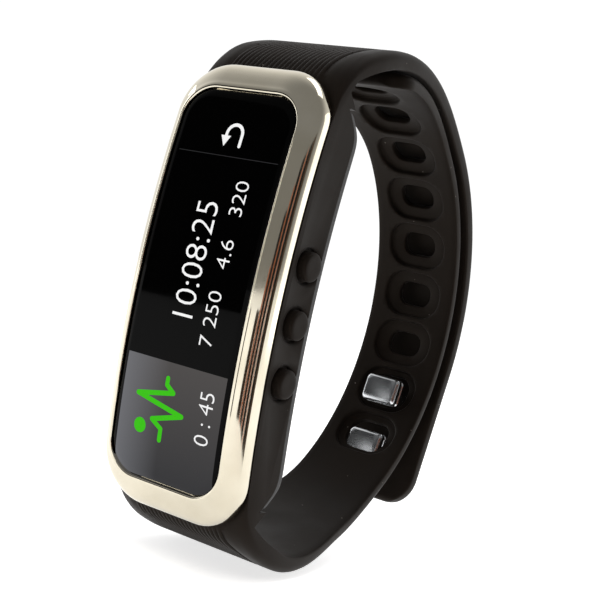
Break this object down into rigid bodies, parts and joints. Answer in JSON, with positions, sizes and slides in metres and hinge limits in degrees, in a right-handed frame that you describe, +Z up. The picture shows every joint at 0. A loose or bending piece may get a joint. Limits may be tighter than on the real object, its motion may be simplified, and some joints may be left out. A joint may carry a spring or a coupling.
{
  "type": "fitness tracker band",
  "caption": "Slim fitness tracker: a long bowed display in a polished bezel, set in a soft band with side buttons that closes with a studded clasp through slots.",
  "frame": {"origin": "middle of the wrist opening", "axes": "+X along the wrist towards the buttons, display faces -Y, +Z up the length of the display"},
  "size_m": [0.0227, 0.0587, 0.0695],
  "materials": {
    "polished_metal": "mirror-polished warm nickel",
    "cover_glass": "black display glass, glossy",
    "silicone": "moulded black silicone, satin",
    "black_plastic": "moulded black ABS",
    "stud_steel": "polished stainless steel",
    "contact_gold": "gold-plated contacts",
    "circuit_board": "green solder mask",
    "chip_black": "moulded epoxy",
    "cell_foil": "foil pouch",
    "flex_film": "amber polyimide film"
  },
  "bodies": {
    "tracker": {"bezel_frame": "polished_metal", "cover_lens": "cover_glass", "lens_gasket": "black_plastic", "display_panel": "cover_glass", "display_flex": "flex_film", "inner_chassis": "black_plastic", "main_board": "circuit_board", "processor_chip": "chip_black", "radio_chip": "chip_black", "motion_sensor": "chip_black", "battery": "cell_foil", "vibration_motor": "stud_steel", "side_board": "circuit_board", "tact_switch_upper": "stud_steel", "tact_switch_middle": "stud_steel", "tact_switch_lower": "stud_steel", "rear_case": "black_plastic", "case_seal": "silicone", "case_screw_1": "stud_steel", "case_screw_2": "stud_steel", "case_screw_3": "stud_steel", "case_screw_4": "stud_steel", "charge_contact_1": "contact_gold", "charge_contact_2": "contact_gold", "band_sleeve": "silicone"},
    "upper_strap": {"upper_strap": "silicone"},
    "clasp_tail": {"clasp_tail": "silicone", "clasp_plate": "stud_steel", "clasp_stud_upper": "stud_steel", "clasp_stud_lower": "stud_steel"},
    "slotted_strap": {"slotted_strap": "silicone"},
    "side_button_upper": {"side_button_upper": "silicone"},
    "side_button_middle": {"side_button_middle": "silicone"},
    "side_button_lower": {"side_button_lower": "silicone"}
  },
  "joints": [
    {"name": "clasp_peel", "type": "hinge", "parent": "upper_strap", "child": "clasp_tail", "pos_m": [0, 0.0243, 0.00929], "axis": [1, 0, 0], "range_deg": [0, 75], "stiffness_Nm_per_rad": 0.004},
    {"name": "upper_strap_flex", "type": "hinge", "parent": "tracker", "child": "upper_strap", "pos_m": [0, -0.01701, 0.03279], "axis": [1, 0, 0], "range_deg": [0, 12], "stiffness_Nm_per_rad": 0.01},
    {"name": "slotted_strap_flex", "type": "hinge", "parent": "tracker", "child": "slotted_strap", "pos_m": [0, -0.01701, -0.03179], "axis": [-1, 0, 0], "range_deg": [0, 5], "stiffness_Nm_per_rad": 0.01},
    {"name": "button_upper_press", "type": "slide", "parent": "tracker", "child": "side_button_upper", "axis": [-1, 0, 0], "range_m": [0, 0.00045], "stiffness_N_per_m": 900},
    {"name": "button_middle_press", "type": "slide", "parent": "tracker", "child": "side_button_middle", "axis": [-1, 0, 0], "range_m": [0, 0.00045], "stiffness_N_per_m": 900},
    {"name": "button_lower_press", "type": "slide", "parent": "tracker", "child": "side_button_lower", "axis": [-1, 0, 0], "range_m": [0, 0.00045], "stiffness_N_per_m": 900}
  ],
  "couplings": [
    {"joint": "upper_strap_flex", "follows": "clasp_peel", "ratio": 0.16},
    {"joint": "slotted_strap_flex", "follows": "clasp_peel", "ratio": 0.06}
  ]
}
